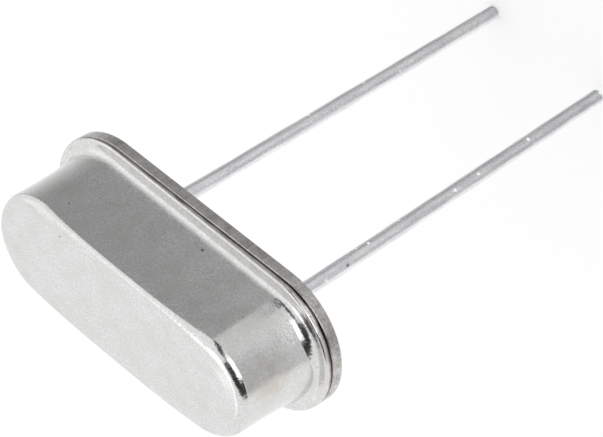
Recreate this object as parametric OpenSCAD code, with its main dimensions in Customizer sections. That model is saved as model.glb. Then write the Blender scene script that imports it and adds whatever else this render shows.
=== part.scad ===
// Low-profile quartz crystal with two wire leads, in a drawn metal can welded to
// a glass-sealed base. The quartz strip hangs between two spring clips inside.
// The origin is at the middle of the base's underside, which is the seating
// plane. +Z runs from the leads to the can's top, and X runs along the can.

/* [Can] */
// Length of the can over the straight upper part of its side wall
can_length = 10.0; // [9.4:0.05:10.6]
// Width of the can over the straight upper part of its side wall
can_width = 3.4; // [3.1:0.05:3.9]
// Height of the can's top above the seating plane
can_height = 3.3; // [2.9:0.05:4.5]
// Thickness of the sheet that the can is drawn from
can_sheet = 0.2; // [0.12:0.01:0.25]
// Inside radius where the side wall turns into the top
top_bend_radius = 0.06; // [0.03:0.01:0.4]
// Height above the flange at which the side wall starts to flare
flare_height = 2.0; // [1.2:0.1:2.4]
// How far the flare would carry the side wall out by the time it meets the flange
wall_flare = 0.12; // [0.04:0.01:0.2]
// Outside radius where the side wall turns out into the flange
foot_bend_radius = 0.14; // [0.08:0.01:0.28]
// Reach of the flange beyond the straight part of the side wall
flange_reach = 0.525; // [0.45:0.005:0.65]
// Radius of the flange's trimmed edge
flange_edge_radius = 0.07; // [0.02:0.01:0.1]

/* [Base] */
// Thickness of the base's rim, under the can's flange
rim_thickness = 0.34; // [0.3:0.01:0.5]
// Distance that the base's edge stays inside the flange's edge
rim_setback = 0.01; // [0:0.01:0.06]
// Radius of the rim's upper edge
rim_top_radius = 0.04; // [0.02:0.01:0.15]
// Radius of the rim's lower edge
rim_bottom_radius = 0.03; // [0.02:0.01:0.12]
// Height of the thick middle of the base above its rim
boss_height = 0.32; // [0.15:0.01:0.45]
// Gap between the thick middle of the base and the can's inside wall
boss_clearance = 0.1; // [0.05:0.01:0.2]
// Radius of the upper edge of the thick middle
boss_edge_radius = 0.08; // [0.02:0.01:0.14]

/* [Glass seals] */
// Diameter of the eyelet that each lead passes through
eyelet_diameter = 1.3; // [1.0:0.05:1.7]
// Depth of the glass below the base's underside
seal_recess = 0.05; // [0.02:0.01:0.12]
// Radius of the glass where it climbs the lead inside the can
seal_meniscus = 0.1; // [0.04:0.01:0.14]

/* [Leads] */
// Distance between the two leads' centres
lead_pitch = 4.88; // [4.4:0.02:5.4]
// Diameter of a lead below the base, over its tin coat
lead_diameter = 0.45; // [0.35:0.01:0.55]
// Thickness of the tin coat, which starts where the lead leaves the glass
lead_coat = 0.015; // [0.005:0.005:0.03]
// Length of the left lead below the seating plane
left_lead_length = 14.9; // [3:0.1:30]
// Length of the right lead below the seating plane
right_lead_length = 14.5; // [3:0.1:30]
// Radius of a lead's cut tip
lead_tip_radius = 0.05; // [0.02:0.01:0.12]
// Diameter of the flattened head at a lead's inner end
head_diameter = 0.95; // [0.75:0.05:1.2]
// Thickness of the flattened head
head_thickness = 0.16; // [0.1:0.01:0.25]
// Radius of the flattened head's rim
head_edge_radius = 0.07; // [0.02:0.01:0.1]
// Gap between the glass and the flattened head
head_clearance = 0.06; // [0.02:0.01:0.15]

/* [Spring clips] */
// Thickness of the clips' strip
clip_sheet = 0.1; // [0.06:0.01:0.14]
// Inside radius of the clips' bend
clip_bend_radius = 0.12; // [0.05:0.01:0.2]
// Width of a clip's foot, which is welded to the lead's head
clip_foot_width = 0.8; // [0.5:0.05:1.2]
// Reach of the foot past the lead's centre, towards the middle
clip_foot_reach = 0.42; // [0.3:0.01:0.6]
// Width of the post on each side of a clip's slot
clip_post_width = 0.18; // [0.1:0.01:0.25]
// Height of the clip's plate above and below its slot
clip_bar_height = 0.26; // [0.15:0.01:0.4]
// Gap between the quartz and the slot's edges
clip_slot_clearance = 0.04; // [0.02:0.01:0.06]
// Radius of the plate's corners
clip_corner_radius = 0.12; // [0.05:0.01:0.2]

/* [Quartz] */
// Gap between the quartz strip's end and the can's inside wall
blank_end_gap = 0.8; // [0.6:0.05:1.2]
// Gap between the quartz strip's long edge and the can's inside wall
blank_side_gap = 0.6; // [0.5:0.05:0.9]
// Thickness of the quartz strip
blank_thickness = 0.16; // [0.08:0.01:0.3]
// Length of quartz that stands out past each clip
blank_overhang = 0.1; // [0.05:0.01:0.2]
// Bevel along the quartz strip's long edges
blank_bevel = 0.03; // [0.01:0.005:0.035]
// Length of each silver electrode
electrode_length = 4.6; // [3:0.1:5.5]
// Bare quartz on each side of an electrode
electrode_margin = 0.2; // [0.1:0.01:0.4]
// Width of the strip that joins an electrode to its clip
electrode_tab_width = 0.9; // [0.4:0.05:1.1]
// Thickness of the silver film
electrode_film = 0.02; // [0.01:0.005:0.03]
// Radius of the electrodes' corners
electrode_corner_radius = 0.2; // [0.05:0.01:0.3]
// Radius of the silver adhesive round each end of the quartz
bead_radius = 0.28; // [0.22:0.01:0.35]
// Length of the silver adhesive along the clip, between its round ends
bead_length = 0.9; // [0.4:0.05:1.0]

/* [Hidden] */
$fn = 96;

// Reach of a cutting shape past the face that it cuts through
overcut = 1;
// Overlap of the straight wall's fill with the flare's, so that the two join
wall_lap = 0.3;
// Largest share of a plate's thickness, or of a wire's radius, that one edge's
// radius may take
edge_share = 0.45;

// The outline is a stadium: two straight sides of this length and two round ends.
straight = can_length - can_width;
can_radius = can_width / 2;
flange_radius = can_radius + flange_reach;
rim_radius = flange_radius - rim_setback;
cavity_radius = can_radius - can_sheet;
ceiling = can_height - can_sheet;
flange_top = rim_thickness + can_sheet;

// The flare is one large arc that leaves the straight wall without a crease, and
// the foot's bend is a small arc that touches both the flare and the flange.
flare_top = flange_top + flare_height;
flare_radius = (pow(flare_height, 2) + pow(wall_flare, 2)) / (2 * wall_flare);
flare_lean = asin((flare_height - foot_bend_radius) / (flare_radius - foot_bend_radius));
bend_x = can_radius + flare_radius - (flare_radius - foot_bend_radius) * cos(flare_lean);
bend_z = flange_top + foot_bend_radius;
boss_radius = cavity_radius - boss_clearance;
boss_top = rim_thickness + boss_height;
flange_edge = min(flange_edge_radius, edge_share * can_sheet);

lead_radius = lead_diameter / 2;
wire_radius = lead_radius - lead_coat;
lead_tip = min(lead_tip_radius, edge_share * lead_radius);
lead_x = lead_pitch / 2;
head_bottom = boss_top + seal_meniscus + head_clearance;
head_top = head_bottom + head_thickness;
head_edge = min(head_edge_radius, edge_share * head_thickness);

blank_length = can_length - 2 * (can_sheet + blank_end_gap);
blank_width = can_width - 2 * (can_sheet + blank_side_gap);
clip_outer_x = blank_length / 2 - blank_overhang;
clip_inner_x = clip_outer_x - clip_sheet;
foot_top = head_top + clip_sheet;
// The quartz lies halfway between the clips' feet and the ceiling.
blank_level = (foot_top + ceiling) / 2;
slot_width = blank_width + 2 * clip_slot_clearance;
slot_height = blank_thickness + 2 * (electrode_film + clip_slot_clearance);
plate_width = slot_width + 2 * clip_post_width;
plate_height = slot_height + 2 * clip_bar_height;

// Half of a flat block's section: its outer corners are rounded, and it starts
// at the middle line.
module round_edged(reach, height, top_radius, bottom_radius) {
    square([reach - top_radius, height]);
    square([reach - bottom_radius, height - top_radius]);
    translate([0, bottom_radius]) square([reach, height - top_radius - bottom_radius]);
    if (top_radius > 0) translate([reach - top_radius, height - top_radius]) circle(r = top_radius);
    if (bottom_radius > 0) translate([reach - bottom_radius, bottom_radius]) circle(r = bottom_radius);
}

// The fill of an inside corner at the origin, rounded by a quarter of a circle.
module inside_corner(radius) {
    difference() {
        square(radius);
        translate([radius, radius]) circle(r = radius);
    }
}

// Rectangle about the origin with round corners.
module round_cornered(width, height, radius) {
    square([width - 2 * radius, height], center = true);
    square([width, height - 2 * radius], center = true);
    for (x = [-1, 1], y = [-1, 1])
        translate([x * (width / 2 - radius), y * (height / 2 - radius)]) circle(r = radius);
}

// Carries a half section round the stadium outline.
module run_round() {
    for (turn = [0, 180])
        rotate([0, 0, turn]) translate([straight / 2, 0, 0])
            rotate([0, 0, -90]) rotate_extrude(angle = 180) children();
    rotate([90, 0, 90]) linear_extrude(height = straight, center = true) {
        children();
        mirror([1, 0]) children();
    }
}

// Everything inside one face of the can's sheet, down to the flange: the outer
// face has no inset, and the inner face is inset by the sheet's thickness.
module can_filled(inset) {
    bend = foot_bend_radius + inset;
    bend_start = [bend_x - bend * cos(flare_lean), bend_z - bend * sin(flare_lean)];
    translate([0, flare_top - wall_lap])
        round_edged(can_radius - inset, can_height - inset - flare_top + wall_lap,
                    top_bend_radius + can_sheet - inset, 0);
    difference() {
        translate([0, bend_start[1]])
            square([can_radius - inset + wall_flare, flare_top - bend_start[1]]);
        translate([can_radius + flare_radius, flare_top]) circle(r = flare_radius + inset);
    }
    difference() {
        polygon([[0, flange_top - inset], [bend_x, flange_top - inset], [bend_x, bend_z],
                 bend_start, [0, bend_start[1]]]);
        translate([bend_x, bend_z]) circle(r = bend);
    }
}

// One sheet: top, side wall and flange, with the same thickness all round.
module can_section() {
    difference() {
        union() {
            can_filled(0);
            translate([0, rim_thickness])
                round_edged(flange_radius, can_sheet, flange_edge, flange_edge);
        }
        can_filled(can_sheet);
        translate([0, rim_thickness - overcut]) square([bend_x, overcut]);
    }
}

module can() {
    color("gainsboro") run_round() can_section();
}

// Coined plate: a thin rim for the weld and a thick middle that holds the glass.
module base() {
    color("darkgray") difference() {
        run_round() {
            round_edged(rim_radius, rim_thickness, rim_top_radius, rim_bottom_radius);
            round_edged(boss_radius, boss_top, boss_edge_radius, 0);
        }
        for (side = [-1, 1])
            translate([side * lead_x, 0, -overcut])
                cylinder(d = eyelet_diameter, h = boss_top + 2 * overcut);
    }
}

// Glass fills the eyelet and climbs the bare wire a little at both ends.
module glass_seal(side) {
    glass_width = eyelet_diameter / 2 - wire_radius;
    color("darkslategray") translate([side * lead_x, 0, 0])
        rotate_extrude() translate([wire_radius, 0]) {
            translate([0, seal_recess]) square([glass_width, boss_top - seal_recess]);
            translate([0, boss_top]) inside_corner(seal_meniscus);
            translate([0, seal_recess]) mirror([0, 1]) inside_corner(seal_recess);
        }
}

module glass_seal_left() { glass_seal(-1); }
module glass_seal_right() { glass_seal(1); }

// Round wire: tinned below the glass down to its cut tip, bare inside the glass,
// and flattened like a nail's head above it.
module lead(side, length) {
    color("silver") translate([side * lead_x, 0, 0]) rotate_extrude() {
        translate([0, -length]) round_edged(lead_radius, length, 0, lead_tip);
        square([wire_radius, head_top]);
        translate([0, head_bottom])
            round_edged(head_diameter / 2, head_thickness, head_edge, head_edge);
    }
}

module lead_left() { lead(-1, left_lead_length); }
module lead_right() { lead(1, right_lead_length); }

// Foot and bend of a clip, seen from the side.
module clip_foot_section() {
    translate([lead_x - clip_foot_reach, head_top])
        square([clip_inner_x - clip_bend_radius - lead_x + clip_foot_reach, clip_sheet]);
    translate([clip_inner_x - clip_bend_radius, foot_top + clip_bend_radius]) intersection() {
        difference() {
            circle(r = clip_bend_radius + clip_sheet);
            circle(r = clip_bend_radius);
        }
        translate([0, -clip_bend_radius - clip_sheet]) square(clip_bend_radius + clip_sheet);
    }
}

// Upright plate of a clip, seen from the end: a neck, and a slot for the quartz.
module clip_plate_outline() {
    neck_bottom = foot_top + clip_bend_radius;
    neck_height = blank_level - slot_height / 2 - neck_bottom;
    translate([-clip_foot_width / 2, neck_bottom]) square([clip_foot_width, neck_height]);
    translate([0, blank_level]) difference() {
        round_cornered(plate_width, plate_height, clip_corner_radius);
        square([slot_width, slot_height], center = true);
    }
}

module holder_clip() {
    color("lightsteelblue") {
        rotate([90, 0, 0])
            linear_extrude(height = clip_foot_width, center = true) clip_foot_section();
        translate([clip_inner_x, 0, 0]) rotate([90, 0, 90])
            linear_extrude(height = clip_sheet) clip_plate_outline();
    }
}

module holder_clip_left() { mirror([1, 0, 0]) holder_clip(); }
module holder_clip_right() { holder_clip(); }

// Thin strip of quartz with bevelled long edges.
module quartz_blank() {
    half_width = blank_width / 2;
    half_thickness = blank_thickness / 2;
    color("azure") translate([0, 0, blank_level]) rotate([90, 0, 90])
        linear_extrude(height = blank_length, center = true) difference() {
            square([blank_width, blank_thickness], center = true);
            for (x = [-1, 1], y = [-1, 1])
                translate([x * half_width, y * half_thickness]) rotate(45)
                    square(blank_bevel * sqrt(2), center = true);
        }
}

// Silver film on the quartz's upper face, with a strip to the left-hand clip.
module electrode() {
    electrode_width = blank_width - 2 * electrode_margin;
    tab_length = blank_length / 2;
    color("whitesmoke") translate([0, 0, blank_thickness / 2])
        linear_extrude(height = electrode_film) {
            round_cornered(electrode_length, electrode_width, electrode_corner_radius);
            translate([-tab_length, -electrode_tab_width / 2])
                square([tab_length, electrode_tab_width]);
        }
}

module electrode_top() { translate([0, 0, blank_level]) electrode(); }
module electrode_bottom() { translate([0, 0, blank_level]) rotate([0, 180, 0]) electrode(); }

// Silver adhesive: a rounded bead against the clip, round the end of the quartz.
module adhesive_right() {
    color("gray") difference() {
        intersection() {
            translate([clip_outer_x, 0, blank_level]) {
                rotate([90, 0, 0]) cylinder(r = bead_radius, h = bead_length, center = true);
                for (y = [-1, 1]) translate([0, y * bead_length / 2, 0]) sphere(r = bead_radius);
            }
            translate([clip_outer_x, -blank_width, blank_level - bead_radius - overcut])
                cube([bead_radius + overcut, 2 * blank_width, 2 * (bead_radius + overcut)]);
        }
        quartz_blank();
        electrode_bottom();
    }
}

// The same bead at the other end, turned over to wrap the upper electrode's strip.
module adhesive_left() {
    translate([0, 0, 2 * blank_level]) rotate([0, 180, 0]) adhesive_right();
}

can();
base();
glass_seal_left();
glass_seal_right();
lead_left();
lead_right();
holder_clip_left();
holder_clip_right();
quartz_blank();
electrode_top();
electrode_bottom();
adhesive_left();
adhesive_right();
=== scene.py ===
# Looks of a low-profile quartz crystal: a plated can welded to a glass-sealed base with two wires.
# Blender lengths are metres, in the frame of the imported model. Sizes below are in millimetres.
import bpy
import numpy as np
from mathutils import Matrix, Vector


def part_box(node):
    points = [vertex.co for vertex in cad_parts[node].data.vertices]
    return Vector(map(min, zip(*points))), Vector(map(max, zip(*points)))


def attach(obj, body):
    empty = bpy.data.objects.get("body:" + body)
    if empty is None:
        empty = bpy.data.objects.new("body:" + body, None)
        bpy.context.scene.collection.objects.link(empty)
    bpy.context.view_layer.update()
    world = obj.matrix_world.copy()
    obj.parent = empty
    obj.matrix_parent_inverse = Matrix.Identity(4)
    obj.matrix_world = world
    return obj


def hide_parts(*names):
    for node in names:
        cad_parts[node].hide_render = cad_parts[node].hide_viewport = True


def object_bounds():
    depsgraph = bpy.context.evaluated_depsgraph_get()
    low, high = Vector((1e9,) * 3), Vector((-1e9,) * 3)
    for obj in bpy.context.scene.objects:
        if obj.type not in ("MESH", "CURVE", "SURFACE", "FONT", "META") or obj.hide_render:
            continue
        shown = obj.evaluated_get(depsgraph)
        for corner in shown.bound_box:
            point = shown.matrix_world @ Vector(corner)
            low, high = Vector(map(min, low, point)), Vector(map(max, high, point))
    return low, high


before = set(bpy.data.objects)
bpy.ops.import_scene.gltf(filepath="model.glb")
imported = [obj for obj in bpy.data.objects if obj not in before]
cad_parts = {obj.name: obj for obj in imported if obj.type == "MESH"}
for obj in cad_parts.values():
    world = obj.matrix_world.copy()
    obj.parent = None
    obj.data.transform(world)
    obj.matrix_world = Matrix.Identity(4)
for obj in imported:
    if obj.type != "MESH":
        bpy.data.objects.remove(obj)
cad_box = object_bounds()

# ------------------------------------------------------------------------------- Base
# A steel plate, coined to a thin rim for the weld and a thick middle with two eyelets for the
# glass. It is barrel plated with dull nickel before the glass is fused in, and the furnace and
# the weld leave it browner and more mottled than the can. Its slope into the groove under the
# flange is painted a dark burnt brown, which is partly weld burn and partly painted shade.
MM = 0.001


def box_mm(name):
    """A CAD node's lowest corner, highest corner and middle, in mm to the nearest 0.001 mm."""
    low, high = np.round(np.array(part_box(name)) / MM, 3)
    return low, high, np.round((low + high) / 2, 3)


# The outline is oblong, with a half circle at each end of the straight part.
_, base_high, _ = box_mm("base")
STRAIGHT = np.round(2 * (base_high[0] - base_high[1]), 3)
BASE_TOP = base_high[2]
_, seal_high, seal_middle = box_mm("glass_seal_right")
EYELET_X = seal_middle[0]
EYELET_RADIUS = np.round(seal_high[0] - EYELET_X, 3)
# Reaches are distances from the outline's middle line. The rim's side ends in a slope to the
# seam, which leaves the groove of the weld, and the boss is the thick middle.
RIM_REACH = 2.22
RIM_SIDE = 0.355
SEAM_REACH = 2.1
SEAM = 0.37
BOSS_REACH = 1.4
# Inside these two reaches the faces with the eyelets take over from the section.
LOWER_FACE = 2.0
UPPER_FACE = 1.25
# Corners of the section: reach, height and radius.
base_corners = [(LOWER_FACE, 0, 0), (RIM_REACH, 0, 0.02), (RIM_REACH, RIM_SIDE, 0.045),
                (SEAM_REACH, SEAM, 0), (BOSS_REACH, SEAM, 0), (BOSS_REACH, BASE_TOP, 0.08),
                (UPPER_FACE, BASE_TOP, 0)]


def rounded_line(corners, steps=12, hold=0.012):
    """Points of a section through corners (reach, height, radius), with steps faces per arc.

    At a corner P with unit directions back and forward along its two sides, which turns by angle
    a, the arc's centre is P + radius * (back + forward) / sin a. It touches the sides at
    radius * tan(a / 2) from P, and its points between are the two contact points weighted by
    sin((1 - t) a) / sin a and sin(t a) / sin a about the centre. One more point just before and
    just after each arc, hold mm away or 0.4 of what is left of the side, keeps the flats beside
    it flat when shaded.
    """
    corners = np.array(corners, float)
    spots, radius = corners[:, :2], corners[1:-1, 2, None]
    sides = np.diff(spots, axis=0)
    lengths = np.linalg.norm(sides, axis=1)
    sides /= lengths[:, None]
    back, forward = -sides[:-1], sides[1:]
    turn = np.arccos(np.clip(-(back * forward).sum(1), -1, 1))[:, None]
    sine = np.maximum(np.sin(turn), 1e-9)
    touch = radius * np.tan(turn / 2)
    taken = np.concatenate([[0], touch[:, 0], [0]])
    holds = np.clip(0.4 * (lengths - taken[:-1] - taken[1:]), 0, hold)
    centre = spots[1:-1] + radius * (back + forward) / sine
    first = spots[1:-1] + touch * back - centre
    last = spots[1:-1] + touch * forward - centre
    t = np.linspace(0, 1, steps + 1)[None, :, None]
    arc = centre[:, None] + (first[:, None] * np.sin((1 - t) * turn[:, None])
                             + last[:, None] * np.sin(t * turn[:, None])) / sine[:, None]
    before = spots[1:-1] + (touch + holds[:-1, None]) * back
    after = spots[1:-1] + (touch + holds[1:, None]) * forward
    bends = np.concatenate([before[:, None], arc, after[:, None]], axis=1).reshape(-1, 2)
    return np.vstack([spots[:1], bends, spots[-1:]])


def stadium_path(ends=96, sides=32):
    """Centres and outward turns of the columns round the outline, anticlockwise from the middle
    of its -Y side: half the straight, the +X half circle, the other straight, the -X half circle
    and the rest of the first straight. There are so many columns on each half circle and on each
    straight, and the last column is the first one again."""
    half, quarter = STRAIGHT / 2, np.pi / 2
    along = np.linspace(0, 1, sides // 2 + 1)[:-1]
    swing = np.linspace(-quarter, quarter, ends + 1)[:-1]
    x = np.concatenate([half * along, np.full(ends, half), half * (1 - along), -half * along,
                        np.full(ends, -half), half * (along - 1), [0]])
    turns = np.concatenate([np.full(sides // 2, -quarter), swing, np.full(sides, quarter),
                            swing + np.pi, np.full(sides // 2 + 1, 3 * quarter)])
    return np.stack([x, 0 * x], axis=-1), turns


def carried(line, centres, turns):
    """Carries a section round a path: each point is the path's centre there plus the section's
    reach along the outward direction (cos turn, sin turn), at the section's height."""
    outward = np.stack([np.cos(turns), np.sin(turns)], axis=-1)
    flat = centres[None] + line[:, None, :1] * outward[None]
    heights = np.broadcast_to(line[:, None, 1:], flat.shape[:2] + (1,))
    return np.concatenate([flat, heights], axis=-1)


def eyelet_sheet(line, centres, turns):
    """The half of the plate at +X, as one sheet round its eyelet: in over the upper face, down
    the bore and out over the lower face. The outer loop is the section's ring there, closed by
    the middle line x = 0. Each point of the eyelet has the turn about the eyelet's centre of a
    point of the lower loop, and the faces are straight blends from loop to eyelet, with a narrow
    last row that keeps them flat when shaded."""
    half = slice(0, len(turns) // 2 + 1)
    ring = carried(line, centres[half], turns[half])
    across = np.linspace(1, -1, 40)[1:-1, None]
    loops = []
    # The section's first point lies on the lower face and its last on the upper one.
    for row in (0, -1):
        midline = np.hstack([0 * across, ring[row, -1, 1] * across, 0 * across + line[row, 1]])
        loops.append(np.vstack([ring[row], midline, ring[row, :1]]))
    lower_loop, upper_loop = loops
    middle = np.array([EYELET_X, 0])
    turn = np.unwrap(np.arctan2(*(lower_loop[:, :2] - middle).T[::-1]))
    circle = middle + EYELET_RADIUS * np.stack([np.cos(turn), np.sin(turn)], axis=-1)
    lower_bore = np.hstack([circle, lower_loop[:, 2:]])
    upper_bore = np.hstack([circle, upper_loop[:, 2:]])
    share = np.array([0, 0.25, 0.5, 0.75, 0.97, 1])[:, None, None]
    upper = upper_loop * (1 - share) + upper_bore * share
    lower = lower_bore * share[::-1] + lower_loop * (1 - share[::-1])
    return np.concatenate([upper, lower])


def skin(name, *grids, **attributes):
    """One mesh from grids of points in mm: four neighbours make a face, points in the same place
    become one, and a face that loses a corner by that becomes a triangle or goes. Edges that turn
    by more than 40 degrees are sharp. attributes are named values of the points, for the
    materials to read."""
    points, faces, first = [], [], 0
    for grid in grids:
        rows, columns = grid.shape[:2]
        number = first + np.arange(rows * columns).reshape(rows, columns)
        faces.append(np.stack([number[:-1, :-1], number[:-1, 1:], number[1:, 1:],
                               number[1:, :-1]], axis=-1).reshape(-1, 4))
        points.append(grid.reshape(-1, 3))
        first += rows * columns
    points = np.vstack(points)
    keep, merged = np.unique(np.round(points * 1e5).astype(np.int64), axis=0,
                             return_index=True, return_inverse=True)[1:]
    faces = merged.reshape(-1)[np.vstack(faces)]
    lost = faces == np.roll(faces, -1, axis=1)
    whole, cut = lost.sum(1) == 0, lost.sum(1) == 1
    triangles = faces[cut][~lost[cut]].reshape(-1, 3)
    mesh = bpy.data.meshes.new(name)
    mesh.from_pydata((points[keep] * MM).tolist(), [], faces[whole].tolist() + triangles.tolist())
    mesh.polygons.foreach_set("use_smooth", np.ones(len(mesh.polygons), bool))
    mesh.set_sharp_from_angle(angle=np.radians(40))
    for key, values in attributes.items():
        attribute = mesh.attributes.new(key, "FLOAT", "POINT")
        attribute.data.foreach_set("value", values.reshape(-1)[keep])
    piece = bpy.data.objects.new(name, mesh)
    bpy.context.scene.collection.objects.link(piece)
    return piece


def srgb(code):
    """An sRGB hex colour as the linear colour that the shaders take: a part up to 0.04045 is
    divided by 12.92, and a higher one becomes ((part + 0.055) / 1.055)^2.4."""
    part = np.array([int(code[i:i + 2], 16) for i in (1, 3, 5)]) / 255
    return (*np.where(part <= 0.04045, part / 12.92, ((part + 0.055) / 1.055) ** 2.4), 1.0)


def new_material(name):
    """A new material and its node tree, which is empty."""
    material = bpy.data.materials.new(name)
    material.use_nodes = True
    material.node_tree.nodes.clear()
    return material, material.node_tree


def node(tree, kind, inputs=None, **settings):
    """Adds one shader node. inputs sets or links its sockets, by name or number; settings are
    the node's own properties."""
    made = tree.nodes.new("ShaderNode" + kind)
    for key, value in settings.items():
        setattr(made, key, value)
    for key, value in (inputs or {}).items():
        if isinstance(value, bpy.types.NodeSocket):
            tree.links.new(value, made.inputs[key])
        else:
            made.inputs[key].default_value = value
    return made


def place_mm(tree):
    """The socket of a point's own place in the frame, in mm."""
    place = node(tree, "TexCoord").outputs["Object"]
    return node(tree, "VectorMath", {0: place, "Scale": 1 / MM}, operation="SCALE").outputs[0]


# Dull nickel over coined steel: a brownish grey, cloudy where the furnace has stained it, ribbed
# square to the edge by the coining die, and dark brown in the groove beside the weld. There a weld
# burn and painted shade under the flange are drawn as one.
dull_nickel, tree = new_material("dull_nickel_plate")
mm = place_mm(tree)
# Stains are about 0.4 mm across. The grain is drawn at 0.07 mm, which is the finest that shows.
cloud = node(tree, "TexNoise", {"Vector": mm, "Scale": 2.4, "Detail": 4.0,
                                "Roughness": 0.6}).outputs["Fac"]
grain = node(tree, "TexNoise", {"Vector": mm, "Scale": 14.0, "Detail": 2.0}).outputs["Fac"]
# The die's ribs are about 0.02 mm apart and drawn at 0.08 mm. They read a point on a ring 2 mm
# out from the middle line, in the surface point's own direction from the nearest point of that
# line, (x held within the straight, 0). It is the same at any distance, so they run to the edge.
spot = node(tree, "SeparateXYZ", {"Vector": mm}).outputs
held = node(tree, "Clamp", {"Value": spot["X"], "Min": -STRAIGHT / 2,
                            "Max": STRAIGHT / 2}).outputs[0]
nearest = node(tree, "CombineXYZ", {"X": held, "Z": spot["Z"]}).outputs[0]
outward = node(tree, "VectorMath", {0: mm, 1: nearest}, operation="SUBTRACT").outputs[0]
direction = node(tree, "VectorMath", {0: outward}, operation="NORMALIZE").outputs[0]
ring = node(tree, "VectorMath", {0: direction, "Scale": 2.0}, operation="SCALE").outputs[0]
line_point = node(tree, "CombineXYZ", {"X": held}).outputs[0]
beside = node(tree, "VectorMath", {0: line_point, 1: ring}, operation="ADD").outputs[0]
ribs = node(tree, "TexNoise", {"Vector": beside, "Scale": 12.0, "Detail": 3.0,
                               "Roughness": 0.7}).outputs["Fac"]
worn = node(tree, "Math", {0: cloud, 1: ribs}, operation="ADD").outputs[0]
mixed = node(tree, "Math", {0: worn, 1: grain}, operation="ADD").outputs[0]
stain = node(tree, "MapRange", {"Value": mixed, "From Min": 1.2, "From Max": 1.8}).outputs[0]
metal = node(tree, "Mix", {0: stain, 6: srgb("#dcd9d7"), 7: srgb("#a7a3a0")},
             data_type="RGBA").outputs[2]
# Painted shade with a weld burn: above z = 0.34 mm, in the groove under the flange, the plate turns
# dark brown.
seam_burn_and_shade = node(tree, "MapRange", {"Value": spot["Z"], "From Min": 0.34,
                                 "From Max": 0.36}).outputs[0]
burnt_and_shaded = node(tree, "Mix", {0: seam_burn_and_shade, 6: metal, 7: srgb("#7d6c62")},
             data_type="RGBA").outputs[2]
rough = node(tree, "MapRange", {"Value": grain, "From Min": 0.3, "From Max": 0.7,
                                "To Min": 0.27, "To Max": 0.36}).outputs[0]
relief = node(tree, "Bump", {"Height": mixed, "Strength": 1.0,
                             "Distance": 0.0015 * MM}).outputs[0]
shader = node(tree, "BsdfPrincipled", {"Base Color": burnt_and_shaded, "Metallic": 1.0,
                                       "Roughness": rough, "Normal": relief})
node(tree, "OutputMaterial", {"Surface": shader.outputs[0]})

base_line = rounded_line(base_corners)
right_half = eyelet_sheet(base_line, *stadium_path())
left_half = right_half * [-1, -1, 1]
base = skin("base_plate", carried(base_line, *stadium_path()), right_half, left_half)
base.data.materials.append(dull_nickel)
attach(base, "root")
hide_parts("base")

# ------------------------------------------------------------------------------- Leads
# Round iron-nickel wire, tinned below the glass and cut off square. Its upper end is flattened
# like a nail's head, to carry a spring clip.
WIRE_RADIUS = 0.225
BARE_RADIUS = 0.21
TIP_EDGE = 0.05
HEAD_RADIUS = 0.475
HEAD_BOTTOM = 0.82
HEAD_EDGE = 0.07
# Handling has left both wires a little out of true: below the glass a wire steps towards +X by
# the first value, in mm, and leans back towards -X by the second, in mm per mm.
wire_bends = {"left": (0.08, 0.0055), "right": (0.145, 0.0236)}

# Hot-dipped tin: a soft bluish white with drawn lines along the wire, pinholes and a few
# droplets, which are painted white as glints.
tin, tree = new_material("tinned_wire")
mm = place_mm(tree)
# The wire's own drawing lines are a few micrometres wide; these are 0.08 mm, to show.
lengthwise = node(tree, "Mapping", {"Vector": mm, "Scale": (1, 1, 0.06)}).outputs[0]
lines = node(tree, "TexNoise", {"Vector": lengthwise, "Scale": 12.0,
                                "Detail": 3.0}).outputs["Fac"]
grain = node(tree, "TexNoise", {"Vector": mm, "Scale": 14.0, "Detail": 2.0}).outputs["Fac"]
both = node(tree, "Math", {0: lines, 1: grain}, operation="ADD").outputs[0]
shade = node(tree, "MapRange", {"Value": both, "From Min": 0.75, "From Max": 1.25}).outputs[0]
metal = node(tree, "Mix", {0: shade, 6: srgb("#dfe0e5"), 7: srgb("#ffffff")},
             data_type="RGBA").outputs[2]
# Each cell of 0.4 mm may hold one spot, 0.08 to 0.15 mm across. By the cell's first random value
# it is a droplet with a painted white glint in about half of them and a dark pinhole in one of 70.
cells = node(tree, "TexVoronoi", {"Vector": mm, "Scale": 2.6}).outputs
chance = node(tree, "SeparateXYZ", {"Vector": cells["Color"]}).outputs
edge = node(tree, "MapRange", {"Value": chance["Y"], "To Min": 0.11, "To Max": 0.2}).outputs[0]
inside = node(tree, "Math", {0: cells["Distance"], 1: edge}, operation="LESS_THAN").outputs[0]
dark = node(tree, "Math", {0: chance["X"], 1: 0.985}, operation="GREATER_THAN").outputs[0]
light = node(tree, "Math", {0: chance["X"], 1: 0.55}, operation="LESS_THAN").outputs[0]
pinhole = node(tree, "Math", {0: inside, 1: dark}, operation="MULTIPLY").outputs[0]
droplet_and_glint = node(tree, "Math", {0: inside, 1: light}, operation="MULTIPLY").outputs[0]
pitted = node(tree, "Mix", {0: pinhole, 6: metal, 7: srgb("#a4a4a8")},
              data_type="RGBA").outputs[2]
# Painted glint: a droplet's colour is plain white.
glinted = node(tree, "Mix", {0: droplet_and_glint, 6: pitted, 7: srgb("#ffffff")},
               data_type="RGBA").outputs[2]
rough = node(tree, "MapRange", {"Value": grain, "From Min": 0.3, "From Max": 0.7,
                                "To Min": 0.32, "To Max": 0.44}).outputs[0]
raised = node(tree, "Math", {0: both, 1: droplet_and_glint}, operation="ADD").outputs[0]
relief = node(tree, "Bump", {"Height": raised, "Strength": 1.0,
                             "Distance": 0.002 * MM}).outputs[0]
# A droplet is drawn matt white, without the metal's mirror: a painted glint.
mirror = node(tree, "Math", {0: 1.0, 1: droplet_and_glint}, operation="SUBTRACT").outputs[0]
shader = node(tree, "BsdfPrincipled", {"Base Color": glinted, "Metallic": mirror,
                                       "Roughness": rough, "Normal": relief})
node(tree, "OutputMaterial", {"Surface": shader.outputs[0]})


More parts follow.
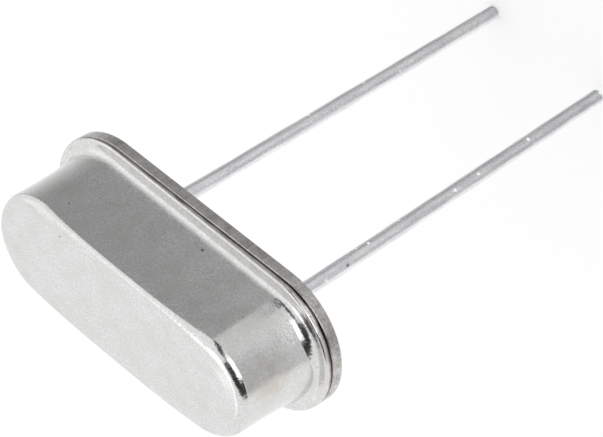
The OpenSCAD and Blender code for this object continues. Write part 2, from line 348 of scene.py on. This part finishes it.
def round_path(x, steps=72):
    """Centres and outward turns of the columns of a full circle about the line (x, 0)."""
    turns = np.linspace(0, 2 * np.pi, steps + 1)
    return np.tile([x, 0.0], (steps + 1, 1)), turns


for side, (step, lean) in wire_bends.items():
    low, high, middle = box_mm("lead_" + side)
    x, length, head_top = middle[0], -low[2], high[2]
    # 40 rings of points let the free wire bend, from 0.2 mm above its tip to 0.2 mm below the base.
    rings = [(WIRE_RADIUS, -level, 0) for level in np.linspace(length - 0.2, 0.2, 40)]
    wire = rounded_line([(0, -length, 0), (WIRE_RADIUS, -length, TIP_EDGE), *rings,
                         (WIRE_RADIUS, 0, 0), (BARE_RADIUS, 0, 0), (BARE_RADIUS, HEAD_BOTTOM, 0),
                         (HEAD_RADIUS, HEAD_BOTTOM, HEAD_EDGE), (HEAD_RADIUS, head_top, HEAD_EDGE),
                         (0, head_top, 0)])
    grid = carried(wire, *round_path(x))
    depth = np.clip(-grid[..., 2], 0, None)
    # The tin lies unevenly: the wire swells by up to 3 % in waves 3.1 mm long, shifted by its
    # own x, and 1.3 mm long.
    swell = (0.018 * np.sin(2 * np.pi * depth / 3.1 + x)
             + 0.012 * np.sin(2 * np.pi * depth / 1.3))
    grid[..., 0] += (grid[..., 0] - x) * swell
    grid[..., 1] += grid[..., 1] * swell
    # The step is taken by 1 - exp(-depth / 0.8 mm).
    grid[..., 0] += step * (1 - np.exp(-depth / 0.8)) - lean * depth
    lead = skin("wire_" + side, grid)
    lead.data.materials.append(tin)
    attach(lead, "root")
    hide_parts("lead_" + side)

# ------------------------------------------------------------------------------- Glass seals
# A ring of sealing glass fused into each eyelet round the wire. It holds the wire, keeps it apart
# from the base and closes the can, and it creeps a little up the wire on both faces.
LOWER_CREEP = 0.05
UPPER_CREEP = 0.1

# Dark green glass, glossy from the melt, with fine bubbles under its skin.
fused_glass, tree = new_material("fused_sealing_glass")
mm = place_mm(tree)
# Bubbles are about 0.03 mm across, and the melt's waves 0.2 mm.
bubbles = node(tree, "TexVoronoi", {"Vector": mm, "Scale": 9.0}).outputs["Distance"]
bubble = node(tree, "MapRange", {"Value": bubbles, "From Min": 0.08, "From Max": 0.2,
                                 "To Min": 1.0, "To Max": 0.0}).outputs[0]
tone = node(tree, "Mix", {0: bubble, 6: srgb("#1f2a27"), 7: srgb("#5c6a64")},
            data_type="RGBA").outputs[2]
waves = node(tree, "TexNoise", {"Vector": mm, "Scale": 5.0}).outputs["Fac"]
relief = node(tree, "Bump", {"Height": waves, "Strength": 1.0,
                             "Distance": 0.01 * MM}).outputs[0]
shader = node(tree, "BsdfPrincipled", {"Base Color": tone, "Roughness": 0.08, "IOR": 1.52,
                                       "Normal": relief})
node(tree, "OutputMaterial", {"Surface": shader.outputs[0]})

glass_corners = [(BARE_RADIUS, 0, 0), (BARE_RADIUS, LOWER_CREEP, LOWER_CREEP),
                 (EYELET_RADIUS, LOWER_CREEP, 0), (EYELET_RADIUS, BASE_TOP, 0),
                 (BARE_RADIUS, BASE_TOP, UPPER_CREEP), (BARE_RADIUS, BASE_TOP + UPPER_CREEP, 0),
                 (BARE_RADIUS, 0, 0)]
for side in ("left", "right"):
    _, _, middle = box_mm("glass_seal_" + side)
    seal = skin("glass_" + side, carried(rounded_line(glass_corners), *round_path(middle[0])))
    seal.data.materials.append(fused_glass)
    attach(seal, "root")
    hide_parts("glass_seal_" + side)

# ------------------------------------------------------------------------------- Spring clips
# Stamped strips of nickel silver, spot-welded on the heads of the wires. A slot in each one holds
# an end of the quartz. They are shut inside the can, so the solids of the model serve.


def dress(material, *names):
    """Gives CAD nodes, which keep their own meshes, this material alone."""
    for name in names:
        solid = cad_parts[name].data
        solid.materials.clear()
        solid.materials.append(material)


# Nickel silver strip: warm grey, with rolling lines up the strip. They are a few micrometres
# wide and drawn at 0.03 mm.
rolled_strip, tree = new_material("rolled_nickel_silver")
across = node(tree, "Mapping", {"Vector": place_mm(tree), "Scale": (1, 12, 1)}).outputs[0]
lines = node(tree, "TexNoise", {"Vector": across, "Scale": 3.0, "Detail": 3.0}).outputs["Fac"]
metal = node(tree, "Mix", {0: lines, 6: srgb("#b3ad9f"), 7: srgb("#c9c4b6")},
             data_type="RGBA").outputs[2]
relief = node(tree, "Bump", {"Height": lines, "Strength": 1.0,
                             "Distance": 0.003 * MM}).outputs[0]
shader = node(tree, "BsdfPrincipled", {"Base Color": metal, "Metallic": 1.0,
                                       "Roughness": 0.32, "Normal": relief})
node(tree, "OutputMaterial", {"Surface": shader.outputs[0]})
dress(rolled_strip, "holder_clip_left", "holder_clip_right")

# ------------------------------------------------------------------------------- Quartz
# A thin strip of quartz, cut at a fixed angle to the crystal's axes, lapped and polished, with
# bevelled long edges. Its ends lie in the slots of the clips, held by the adhesive.

# Lapped quartz: clear, faintly bluish, with the last of the lapping haze on it, which is finer
# than 0.01 mm and drawn at 0.08 mm.
lapped_quartz, tree = new_material("lapped_quartz")
haze = node(tree, "TexNoise", {"Vector": place_mm(tree), "Scale": 12.0,
                               "Detail": 2.0}).outputs["Fac"]
rough = node(tree, "MapRange", {"Value": haze, "To Min": 0.08, "To Max": 0.22}).outputs[0]
tone = node(tree, "Mix", {0: haze, 6: srgb("#eef5f6"), 7: srgb("#e2edef")},
            data_type="RGBA").outputs[2]
shader = node(tree, "BsdfPrincipled", {"Base Color": tone, "Roughness": rough, "IOR": 1.544,
                                       "Transmission Weight": 0.9})
node(tree, "OutputMaterial", {"Surface": shader.outputs[0]})
dress(lapped_quartz, "quartz_blank")

# ------------------------------------------------------------------------------- Electrodes
# Two thin films that drive the quartz, one on each face. The silver is evaporated onto it through
# a mask, with a strip out to one clip each.

# Evaporated silver: bright, a little frosted by the lapped quartz under it. The frost is finer
# than 0.01 mm and drawn at 0.07 mm.
silver_film, tree = new_material("evaporated_silver")
frost = node(tree, "TexNoise", {"Vector": place_mm(tree), "Scale": 15.0,
                                "Detail": 2.0}).outputs["Fac"]
rough = node(tree, "MapRange", {"Value": frost, "To Min": 0.14, "To Max": 0.3}).outputs[0]
metal = node(tree, "Mix", {0: frost, 6: srgb("#f4f1eb"), 7: srgb("#e6e1d8")},
             data_type="RGBA").outputs[2]
shader = node(tree, "BsdfPrincipled", {"Base Color": metal, "Metallic": 1.0,
                                       "Roughness": rough})
node(tree, "OutputMaterial", {"Surface": shader.outputs[0]})
dress(silver_film, "electrode_top", "electrode_bottom")

# ------------------------------------------------------------------------------- Adhesive
# A bead of epoxy filled with silver flakes, cured round each end of the quartz and on its clip.
# It holds the quartz and joins a film's strip to the clip.

# Silver-filled epoxy: matt grey, speckled by the flakes, which are about 0.01 mm across and
# drawn at 0.03 mm.
silver_epoxy, tree = new_material("silver_filled_epoxy")
flakes = node(tree, "TexVoronoi", {"Vector": place_mm(tree), "Scale": 30.0}).outputs["Color"]
bright = node(tree, "SeparateXYZ", {"Vector": flakes}).outputs["X"]
tone = node(tree, "Mix", {0: bright, 6: srgb("#8f8d8a"), 7: srgb("#c2c0bc")},
            data_type="RGBA").outputs[2]
relief = node(tree, "Bump", {"Height": bright, "Strength": 1.0,
                             "Distance": 0.01 * MM}).outputs[0]
shader = node(tree, "BsdfPrincipled", {"Base Color": tone, "Metallic": 0.4,
                                       "Roughness": 0.6, "Normal": relief})
node(tree, "OutputMaterial", {"Surface": shader.outputs[0]})
dress(silver_epoxy, "adhesive_left", "adhesive_right")

# ------------------------------------------------------------------------------- Can
# One piece of thin sheet, deep drawn to an oblong cup and trimmed to a flange, which is
# resistance-welded to the base's rim all round. It is nickel plated and tumbled.
_, can_high, _ = box_mm("can")
CAN_TOP = can_high[2]
CAN_SHEET = 0.2
# The side wall is straight above, and its lower part flares out along a large arc.
WALL_REACH = 1.7
FLARE_TOP = 2.54
FLARE_DEPTH = 1.82
FLARE_RADIUS = 16.73
FOOT_INSIDE = 1.645
FOOT_OUTSIDE = 1.82
# The flange's edge leans in from bottom to top, and its upper side falls a little to the foot.
FLANGE_BOTTOM_REACH = 2.235
FLANGE_TOP_REACH = 2.207
FLANGE_TOP_AT_EDGE = 0.552
FLANGE_TOP_AT_FOOT = 0.533


def flare(inset):
    """Points down the flared part of the side wall, which is an arc of a large circle that leaves
    the straight wall level with its centre: reach = start + R - sqrt(R^2 - drop^2), where R and
    the start are those of the outer face, grown and lessened by the inset."""
    drops = np.linspace(0, FLARE_DEPTH, 14)
    grown = FLARE_RADIUS + inset
    reaches = WALL_REACH - inset + grown - np.sqrt(grown ** 2 - drops ** 2)
    return [(reach, FLARE_TOP - drop, 0) for reach, drop in zip(reaches, drops)]


def can_section(top_bend=0.3, foot_bend=0.14, fall=0.0):
    """The can's section, from the middle of the ceiling down inside, round the flange's edge and
    up outside to the middle of the top. The bends are the radii outside, and the top falls by so
    much from 1.1 mm out to its bend."""
    inner_top, inner_reach = CAN_TOP - CAN_SHEET, WALL_REACH - CAN_SHEET
    ceiling = [(0, inner_top, 0), (inner_reach, inner_top, 0.06)]
    flange = [(FOOT_INSIDE, SEAM, 0.34), (FLANGE_BOTTOM_REACH, SEAM, 0.05),
              (FLANGE_TOP_REACH, FLANGE_TOP_AT_EDGE, 0.06),
              (FOOT_OUTSIDE, FLANGE_TOP_AT_FOOT, foot_bend)]
    top = [(WALL_REACH, CAN_TOP - fall, top_bend), (1.1, CAN_TOP, 3.0), (0, CAN_TOP, 0)]
    return rounded_line(ceiling + flare(CAN_SHEET) + flange + flare(0)[::-1] + top, steps=16)


# Satin nickel: a neutral silver grey, evenly frosted, with faint cloudiness, a few pits and
# hairlines from handling, orange peel on the bends, a stain at one end, and at the seam a burn
# that is also painted shade.
satin_nickel, tree = new_material("satin_nickel_plate")
mm = place_mm(tree)
spot = node(tree, "SeparateXYZ", {"Vector": mm}).outputs
# Clouds are about 0.6 mm across. The frosting is finer than 0.01 mm and drawn at 0.06 mm.
cloud = node(tree, "TexNoise", {"Vector": mm, "Scale": 1.6, "Detail": 5.0,
                                "Roughness": 0.6}).outputs["Fac"]
grain = node(tree, "TexNoise", {"Vector": mm, "Scale": 17.0, "Detail": 2.0}).outputs["Fac"]
shade = node(tree, "MapRange", {"Value": grain, "From Min": 0.25, "From Max": 0.75}).outputs[0]
metal = node(tree, "Mix", {0: shade, 6: srgb("#cecece"), 7: srgb("#ececec")},
             data_type="RGBA").outputs[2]
cloudy = node(tree, "MapRange", {"Value": cloud, "From Min": 0.4, "From Max": 0.7,
                                 "To Max": 0.6}).outputs[0]
clouded = node(tree, "Mix", {0: cloudy, 6: metal, 7: srgb("#d3d1cc")},
               data_type="RGBA").outputs[2]

# Welding burns the lower edge of the flange brown, up to a ragged line, and the same dark brown
# stands in as painted shade in the crevice under the flange. It is wider and darker towards +X,
# but for one spot that is left clean.
clean_spot = (4.5, 1.87, 0.42)
ragged = node(tree, "TexNoise", {"Vector": mm, "Scale": 2.5, "Detail": 3.0}).outputs["Fac"]
level = node(tree, "Math", {0: ragged, 1: -0.12, 2: spot["Z"]},
             operation="MULTIPLY_ADD").outputs[0]
upper = node(tree, "MapRange", {"Value": spot["X"], "From Min": 2.0, "From Max": 4.5,
                                "To Min": 0.415, "To Max": 0.45}).outputs[0]
# Painted shade and weld burn: the band above the seam that turns dark brown.
burn_and_shade_band = node(tree, "MapRange", {"Value": level, "From Min": 0.355, "From Max": upper,
                               "To Min": 1.0, "To Max": 0.0}).outputs[0]
off = node(tree, "VectorMath", {0: mm, 1: clean_spot}, operation="DISTANCE").outputs["Value"]
off_clean_spot = node(tree, "MapRange", {"Value": off, "From Min": 0.2, "From Max": 0.35,
                                "To Min": 0.0, "To Max": 1.0}).outputs[0]
darker = node(tree, "MapRange", {"Value": spot["X"], "From Min": -3.0, "From Max": 3.0,
                                 "To Min": 0.7, "To Max": 1.0}).outputs[0]
spared = node(tree, "Math", {0: burn_and_shade_band, 1: off_clean_spot}, operation="MULTIPLY").outputs[0]
seam_burn_and_shade = node(tree, "Math", {0: spared, 1: darker}, operation="MULTIPLY").outputs[0]
burnt_and_shaded = node(tree, "Mix", {0: seam_burn_and_shade, 6: clouded, 7: srgb("#5a4a42")},
             data_type="RGBA").outputs[2]

# A brownish bath stain on the round end at +X, broken up by the cloudiness.
stain_spot = (4.82, 0.72, 2.2)
far = node(tree, "VectorMath", {0: mm, 1: stain_spot}, operation="DISTANCE").outputs["Value"]
near = node(tree, "MapRange", {"Value": far, "From Min": 0.2, "From Max": 0.9,
                               "To Min": 0.5, "To Max": 0.0}).outputs[0]
patchy = node(tree, "MapRange", {"Value": cloud, "From Min": 0.35, "From Max": 0.58}).outputs[0]
stain = node(tree, "Math", {0: near, 1: patchy}, operation="MULTIPLY").outputs[0]
stained = node(tree, "Mix", {0: stain, 6: burnt_and_shaded, 7: srgb("#bfb5a4")},
               data_type="RGBA").outputs[2]

# Each cell of 0.5 mm may hold one pit, 0.03 to 0.09 mm across and darker the higher the cell's
# first random value. One pit on the side wall has a place of its own.
large_pit_spot = (0.79, 1.77, 0.97)
pit_cells = node(tree, "TexVoronoi", {"Vector": mm, "Scale": 2.1}).outputs
pit_chance = node(tree, "SeparateXYZ", {"Vector": pit_cells["Color"]}).outputs
edge = node(tree, "MapRange", {"Value": pit_chance["Y"], "To Min": 0.03,
                               "To Max": 0.09}).outputs[0]
inside = node(tree, "Math", {0: pit_cells["Distance"], 1: edge},
              operation="LESS_THAN").outputs[0]
depth = node(tree, "MapRange", {"Value": pit_chance["X"], "From Min": 0.5, "From Max": 1.0,
                                "To Max": 0.9}).outputs[0]
small_pit = node(tree, "Math", {0: inside, 1: depth}, operation="MULTIPLY").outputs[0]
away = node(tree, "VectorMath", {0: mm, 1: large_pit_spot},
            operation="DISTANCE").outputs["Value"]
large_pit = node(tree, "MapRange", {"Value": away, "From Min": 0.035, "From Max": 0.055,
                                    "To Min": 0.8, "To Max": 0.0}).outputs[0]
pit = node(tree, "Math", {0: small_pit, 1: large_pit}, operation="MAXIMUM").outputs[0]
pitted = node(tree, "Mix", {0: pit, 6: stained, 7: srgb("#55524f")},
              data_type="RGBA").outputs[2]

# A hairline runs across every second cell of 1 mm of the top, each at its own turn: it is 0.6 mm
# long and would be 0.01 mm wide, drawn at 0.025 mm.
line_cells = node(tree, "TexVoronoi", {"Vector": mm, "Scale": 1.0}).outputs
line_chance = node(tree, "SeparateXYZ", {"Vector": line_cells["Color"]}).outputs
angle = node(tree, "Math", {0: line_chance["Y"], 1: 2 * np.pi}, operation="MULTIPLY").outputs[0]
local = node(tree, "VectorMath", {0: mm, 1: line_cells["Position"]},
             operation="SUBTRACT").outputs[0]
turned = node(tree, "VectorRotate", {"Vector": local, "Angle": angle},
              rotation_type="Z_AXIS").outputs[0]
own = node(tree, "SeparateXYZ", {"Vector": turned}).outputs
narrow = node(tree, "Math", {0: own["Y"], 2: 0.0125}, operation="COMPARE").outputs[0]
short = node(tree, "Math", {0: own["X"], 2: 0.3}, operation="COMPARE").outputs[0]
chosen = node(tree, "Math", {0: line_chance["X"], 1: 0.5}, operation="LESS_THAN").outputs[0]
on_top = node(tree, "Math", {0: spot["Z"], 1: 3.29}, operation="GREATER_THAN").outputs[0]
line = node(tree, "Math", {0: narrow, 1: short}, operation="MULTIPLY").outputs[0]
where = node(tree, "Math", {0: chosen, 1: on_top}, operation="MULTIPLY").outputs[0]
hairline = node(tree, "Math", {0: line, 1: where}, operation="MULTIPLY").outputs[0]
scratched = node(tree, "Mix", {0: hairline, 6: pitted, 7: srgb("#f2f2f2")},
                 data_type="RGBA").outputs[2]

# The frosting's own relief; on the bends orange peel 0.1 mm across, where drawing has stretched
# the sheet's grain; and shallow waves of 1 mm all over.
rough = node(tree, "MapRange", {"Value": grain, "From Min": 0.3, "From Max": 0.7,
                                "To Min": 0.15, "To Max": 0.21}).outputs[0]
relief = node(tree, "Bump", {"Height": grain, "Strength": 1.0,
                             "Distance": 0.0028 * MM}).outputs[0]
stretched = node(tree, "Attribute", attribute_name="bent").outputs["Fac"]
peel = node(tree, "TexNoise", {"Vector": mm, "Scale": 9.0, "Detail": 2.0}).outputs["Fac"]
peeled = node(tree, "Math", {0: peel, 1: stretched}, operation="MULTIPLY").outputs[0]
rind = node(tree, "Bump", {"Height": peeled, "Strength": 1.0, "Distance": 0.0065 * MM,
                           "Normal": relief}).outputs[0]
wave = node(tree, "TexNoise", {"Vector": mm, "Scale": 0.9, "Detail": 1.0}).outputs["Fac"]
dents = node(tree, "Bump", {"Height": wave, "Strength": 1.0, "Distance": 0.02 * MM,
                            "Normal": rind}).outputs[0]
shader = node(tree, "BsdfPrincipled", {"Base Color": scratched, "Metallic": 1.0,
                                       "Roughness": rough, "Normal": dents})
node(tree, "OutputMaterial", {"Surface": shader.outputs[0]})

# Drawing pulls the bend at the top tighter along the straight sides than round the ends, by
# 1 - |x / half|^3 of the difference. At the four corners of the outline, by sin(2 turn)^2 of the
# difference, it leaves the foot's bend wider and the top a little fallen.
centres, turns = stadium_path()
at_sides = np.clip(1 - np.abs(centres[:, :1] * 2 / STRAIGHT) ** 3, 0, 1)
at_corners = np.sin(2 * turns[:, None]) ** 2
plain = carried(can_section(), centres, turns)
tight = carried(can_section(top_bend=0.105), centres, turns)
fallen = carried(can_section(foot_bend=0.35, fall=0.04), centres, turns)
shape = plain + at_sides * (tight - plain) + at_corners * (fallen - plain)
# The share of the sheet that was stretched is 1 on the top's bend and on the foot's.
x, y, z = np.moveaxis(shape, -1, 0)
reach = np.hypot(x - np.clip(x, -STRAIGHT / 2, STRAIGHT / 2), y)
bent = (np.interp(z, (2.96, 3.06), (0, 1)) * np.interp(reach, (1.35, 1.45), (0, 1))
        + np.interp(z, (0.46, 0.5), (0, 1)) * np.interp(z, (0.69, 0.84), (1, 0)))
# The weld has taken the flange down a little further at -X: its upper side rises by 0.011 mm per
# mm of x, which fades out up the flare, between z = 0.8 and 2.4 mm, and below z = 0.45 mm.
shape[..., 2] += (0.011 * x * np.interp(z, (0.8, 2.4), (1, 0))
                  * np.interp(z, (0.35, 0.45), (0, 1)))
can = skin("drawn_can", shape, bent=bent)
can.data.materials.append(satin_nickel)
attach(can, "root")
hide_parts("can")

# ------------------------------------------------------------------------------- Studio
# A white sweep under the tips of the wires, a white room all round, and what a photographer
# hangs about shiny metal: black, grey and white cards. Only mirrors see the cards.
world = bpy.data.worlds.new("white_room")
bpy.context.scene.world = world
world.use_nodes = True
walls = world.node_tree.nodes["Background"].inputs
walls["Color"].default_value = (1, 1, 1, 1)
walls["Strength"].default_value = 1.0

# Matt white paper: it takes the part's shadow, and a glow of its own, which gives the part no
# light, lifts it to plain white.
matt_white, tree = new_material("matt_white_sweep")
paper = node(tree, "BsdfDiffuse", {"Color": srgb("#f4f4f4")}).outputs[0]
rays = node(tree, "LightPath").outputs
direct = node(tree, "Math", {0: rays["Is Camera Ray"], 1: rays["Is Glossy Ray"]},
              operation="ADD").outputs[0]
seen = node(tree, "Math", {0: direct, 1: rays["Is Transmission Ray"]},
            operation="ADD").outputs[0]
strength = node(tree, "Math", {0: seen, 1: 0.12}, operation="MULTIPLY").outputs[0]
glow = node(tree, "Emission", {"Strength": strength}).outputs[0]
white = node(tree, "AddShader", {0: paper, 1: glow}).outputs[0]
node(tree, "OutputMaterial", {"Surface": white})

# It lies at the tip of the longer wire. The metal mirrors the room and the cards instead of it.
wire_tips = round(cad_box[0][2] / MM, 3)
along, across = np.meshgrid(np.linspace(-400, 400, 9), np.linspace(-400, 400, 9))
floor = skin("floor", np.stack([along, across, np.full_like(along, wire_tips)], axis=-1))
floor.data.materials.append(matt_white)
floor.visible_glossy = False

# Card with a plain tone of its own, which fades out at the edges. Both are values of its points.
card_cloth, tree = new_material("card_cloth")
tone = node(tree, "Attribute", attribute_name="light").outputs["Fac"]
share = node(tree, "Attribute", attribute_name="cover").outputs["Fac"]
lit = node(tree, "Emission", {"Strength": tone}).outputs[0]
clear = node(tree, "BsdfTransparent").outputs[0]
cloth = node(tree, "MixShader", {0: share, 1: clear, 2: lit}).outputs[0]
node(tree, "OutputMaterial", {"Surface": cloth})


def card(name, azimuths, elevations, fades, light, distance, lean=0.0):
    """A card hung about the part: the patch of a sphere, distance mm out, between two azimuths,
    from +X towards +Y, and two elevations, in degrees. It leans by so many degrees of azimuth
    from its lower edge to its upper one. Over the fades, in degrees at its start, end, bottom and
    top, it thins out to nothing by s^2 (3 - 2 s), where s is the share of the fade."""
    steps = np.linspace(0, 1, 41)
    across, up = np.meshgrid(steps, steps)
    wide, tall = azimuths[1] - azimuths[0], elevations[1] - elevations[0]
    azimuth = np.radians(azimuths[0] + across * wide + lean * up)
    elevation = np.radians(elevations[0] + up * tall)
    points = distance * np.stack([np.cos(elevation) * np.cos(azimuth),
                                  np.cos(elevation) * np.sin(azimuth),
                                  np.sin(elevation)], axis=-1)
    edges = (across * wide, (1 - across) * wide, up * tall, (1 - up) * tall)
    shares = [np.clip(edge / fade, 0, 1) for edge, fade in zip(edges, fades)]
    cover = np.prod([share ** 2 * (3 - 2 * share) for share in shares], axis=0)
    hung = skin(name, points, cover=cover, light=np.full_like(cover, light))
    hung.data.materials.append(card_cloth)
    hung.visible_camera = hung.visible_diffuse = False
    hung.visible_shadow = hung.visible_transmission = False


# Where two cards overlap, the one that hangs nearer hides the other.
card("black_card_upright", (-11, 30), (-19, 78), (9, 8, 5, 10), 0.03, 200)
card("black_card_slanting", (90, 121), (-23, 42), (8, 9, 4, 6), 0.05, 205, lean=-30)
card("black_card_level", (-14, 68), (25, 84), (10, 8, 6, 5), 0.05, 210)
card("white_card_low", (29, 68), (-17, 27), (6, 5, 3, 6), 2.2, 215)
card("white_card_zenith", (100, 262), (68, 90), (20, 12, 6, 0.1), 2.2, 217)
card("white_card_above", (226, 264), (39, 88), (8, 12, 5, 2), 1.6, 218)
card("white_card_behind", (185, 240), (50, 88), (12, 12, 8, 2), 1.4, 219)
card("white_card_high", (126, 190), (10, 62), (10, 20, 14, 12), 1.2, 220)
card("pale_card_right", (40, 118), (-50, -19), (32, 3, 9, 6), 0.76, 225)
card("grey_card_right", (-18, 120), (-50, -19), (16, 4, 9, 6), 0.58, 230)
card("grey_card_side", (108, 232), (-60, -4), (12, 100, 12, 16), 0.362, 235)
card("dark_card_below", (-45, 200), (-86, -40), (25, 20, 6, 10), 0.15, 240)

# ------------------------------------------------------------------------------- Camera
# A long lens, 90 mm off, that sees the top, the +Y side and the +X end of the can. It is rolled
# so that the wires run to the upper right.
camera = bpy.data.objects.new("camera", bpy.data.cameras.new("camera"))
bpy.context.scene.collection.objects.link(camera)
camera.data.sensor_width = 36.0
camera.data.lens = 191.04
camera.data.clip_start = 0.001
camera.location = np.array((42.9727, 62.6828, 48.3776)) * MM
camera.rotation_euler = np.radians((-37.2748, 44.7304, 8.5785))
bpy.context.scene.camera = camera
bpy.context.scene.view_settings.view_transform = "Standard"
